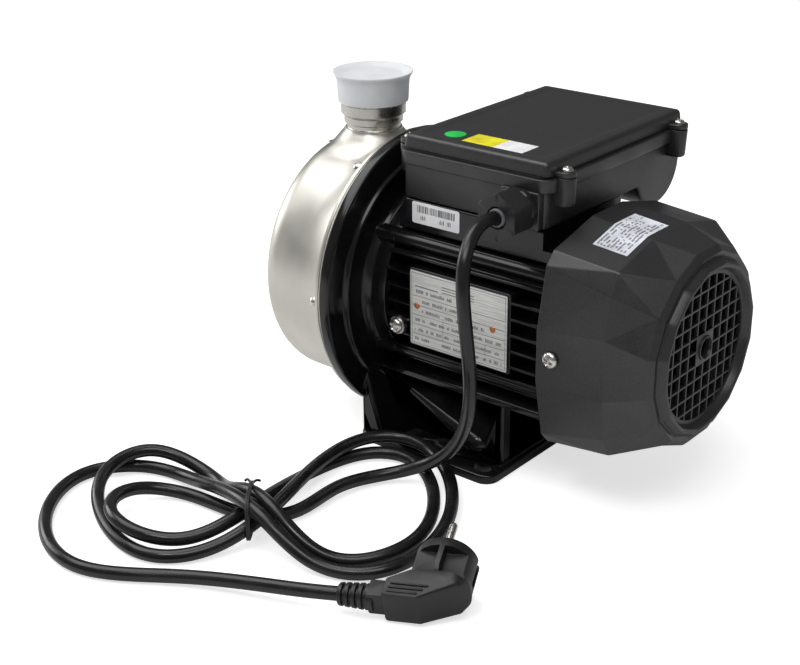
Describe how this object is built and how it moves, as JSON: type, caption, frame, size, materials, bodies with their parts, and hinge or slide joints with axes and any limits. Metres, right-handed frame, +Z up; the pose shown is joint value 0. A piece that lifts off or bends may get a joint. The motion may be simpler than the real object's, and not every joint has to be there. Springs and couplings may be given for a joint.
{
  "type": "close-coupled centrifugal chemical pump",
  "caption": "Stainless centrifugal pump close-coupled to a finned black electric motor with terminal box, faceted fan guard, foot bracket and mains lead.",
  "frame": {"origin": "on the foot's underside, straight below the shaft axis, on the web between the two cast pockets", "axes": "+X along the shaft from the suction port towards the fan, +Z up, -Y towards the side with the nameplate and the cable gland"},
  "size_m": [0.3376, 0.4261, 0.2438],
  "materials": {
    "stainless": "satin, finely turned",
    "bright_steel": "bright machined",
    "nickel": "nickel plated",
    "black_paint": "gloss black enamel",
    "black_plastic": "fine moulded grain",
    "gland_plastic": "satin",
    "black_rubber": "matt",
    "cap_plastic": "milky, slightly see-through",
    "ceramic": "polished ceramic",
    "carbon": "machined carbon",
    "iron": "stacked sheets",
    "copper": "enamelled copper wire",
    "plate": "printed sheet",
    "grey_plastic": "moulded",
    "lead_sheath": "satin black sheath",
    "plug_pins": "nickel plated",
    "tie_plastic": "plastic-coated wire"
  },
  "bodies": {
    "root": {"casing": "stainless", "suction_socket": "stainless", "suction_guide": "stainless", "discharge_socket": "stainless", "casing_cover": "stainless", "front_bearing_outer_ring": "bright_steel", "rear_bearing_outer_ring": "bright_steel", "casing_bolt_1": "nickel", "casing_bolt_2": "nickel", "casing_bolt_3": "nickel", "casing_bolt_4": "nickel", "casing_bolt_5": "nickel", "casing_bolt_6": "nickel", "tie_bolt_1": "nickel", "tie_bolt_2": "nickel", "tie_bolt_3": "nickel", "tie_bolt_4": "nickel", "fan_cover_screw_1": "nickel", "fan_cover_screw_2": "nickel", "lid_screw_1": "nickel", "lid_screw_2": "nickel", "lid_screw_3": "nickel", "lid_screw_4": "nickel", "priming_plug": "nickel", "drain_plug": "nickel", "earth_screw": "nickel", "bracket": "black_paint", "motor_housing": "black_paint", "rear_shield": "black_paint", "terminal_box": "black_plastic", "box_lid": "black_plastic", "fan_cover": "black_plastic", "gland_body": "gland_plastic", "gland_nut": "gland_plastic", "gland_seal": "black_rubber", "casing_o_ring": "black_rubber", "lid_gasket": "black_rubber", "seal_seat": "ceramic", "stator_core": "iron", "stator_windings": "copper", "nameplate": "plate", "capacitor": "grey_plastic", "terminal_block": "grey_plastic", "cord": "lead_sheath", "plug_body": "lead_sheath", "plug_contacts": "plug_pins", "cord_tie": "tie_plastic"},
    "rotor": {"impeller": "stainless", "impeller_nut": "bright_steel", "seal_head": "carbon", "seal_spring": "bright_steel", "shaft": "bright_steel", "slinger": "black_rubber", "rotor_core": "iron", "fan": "black_plastic", "front_bearing_inner_ring": "bright_steel", "front_bearing_balls": "bright_steel", "rear_bearing_inner_ring": "bright_steel", "rear_bearing_balls": "bright_steel"},
    "cap": {"discharge_cap": "cap_plastic"}
  },
  "joints": [
    {"name": "rotor_spin", "type": "hinge", "parent": "root", "child": "rotor", "pos_m": [0, 0, 0.109], "axis": [1, 0, 0], "continuous": true},
    {"name": "cap_pull", "type": "slide", "parent": "root", "child": "cap", "axis": [0, 0, 1], "range_m": [0, 0.03]}
  ]
}
